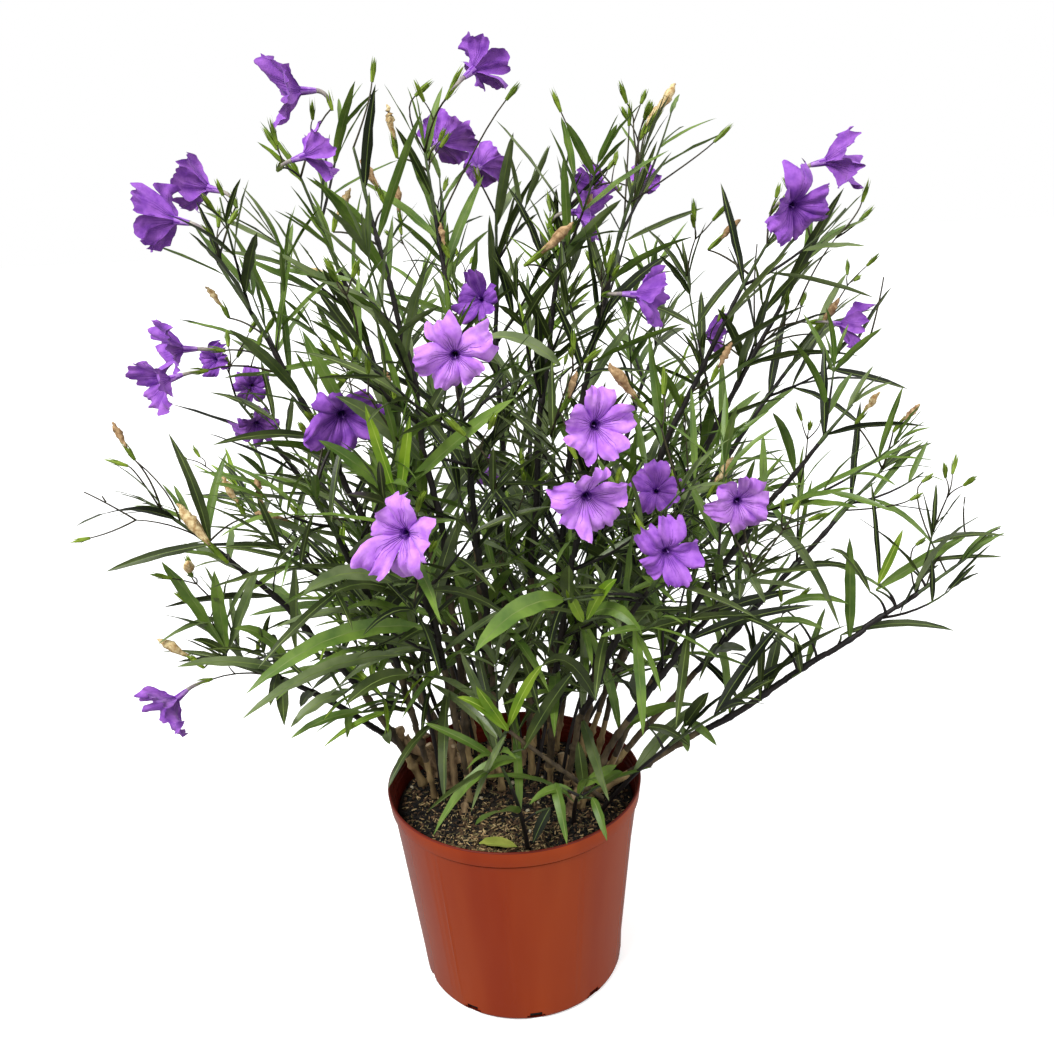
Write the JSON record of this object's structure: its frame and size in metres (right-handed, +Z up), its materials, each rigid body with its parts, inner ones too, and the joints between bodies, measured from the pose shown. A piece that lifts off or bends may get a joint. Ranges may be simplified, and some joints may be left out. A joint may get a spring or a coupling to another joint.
{
  "type": "potted mexican petunia",
  "caption": "Clump of upright leafy canes with violet trumpet blooms, growing in a tapered round nursery pot filled with soil.",
  "frame": {"origin": "on the floor, at the centre of the pot's flat underside", "axes": "+Z up along the pot's axis, -Y towards the side that the picture shows"},
  "size_m": [0.8312, 0.6223, 0.8938],
  "materials": {
    "pot": "satin moulded plastic, terracotta red",
    "soil": "damp bark and peat potting mix",
    "old_wood": "cut and weathered cane stubs",
    "cane": "smooth ringed canes, tan at the foot and purple-brown above",
    "leaf": "dark green narrow leaves with a soft sheen, on thin green shoots with violet blooms"
  },
  "bodies": {
    "root": {"pot": "pot", "soil": "soil", "stub_left": "old_wood", "stub_right": "old_wood", "cane_left_low": "cane", "cane_left_fan": "cane", "cane_left_rear": "cane", "cane_left_tall": "cane", "cane_left_inner": "cane", "cane_centre_left": "cane", "cane_centre_main": "cane", "cane_centre_rear": "cane", "cane_centre_slim": "cane", "cane_centre_right": "cane", "cane_right_inner": "cane", "cane_right_tall": "cane", "cane_right_rear": "cane", "cane_right_fan": "cane", "cane_right_wide": "cane", "cane_right_low": "cane", "cane_front_left": "cane", "cane_front_main": "cane", "cane_front_right": "cane", "cane_front_low": "cane", "cane_front_side": "cane", "cane_front_far_left": "cane", "cane_back_left": "cane", "cane_back_main": "cane", "cane_back_right": "cane", "cane_back_low": "cane", "foliage_left_low": "leaf", "foliage_left_fan": "leaf", "foliage_left_rear": "leaf", "foliage_left_tall": "leaf", "foliage_left_inner": "leaf", "foliage_centre_left": "leaf", "foliage_centre_main": "leaf", "foliage_centre_rear": "leaf", "foliage_centre_slim": "leaf", "foliage_centre_right": "leaf", "foliage_right_inner": "leaf", "foliage_right_tall": "leaf", "foliage_right_rear": "leaf", "foliage_right_fan": "leaf", "foliage_right_wide": "leaf", "foliage_right_low": "leaf", "foliage_front_left": "leaf", "foliage_front_main": "leaf", "foliage_front_right": "leaf", "foliage_front_low": "leaf", "foliage_front_side": "leaf", "foliage_front_far_left": "leaf", "foliage_back_left": "leaf", "foliage_back_main": "leaf", "foliage_back_right": "leaf", "foliage_back_low": "leaf", "sprig_front": "leaf", "sprig_rim": "leaf", "sprig_right": "leaf", "sprig_back": "leaf"}
  },
  "joints": []
}
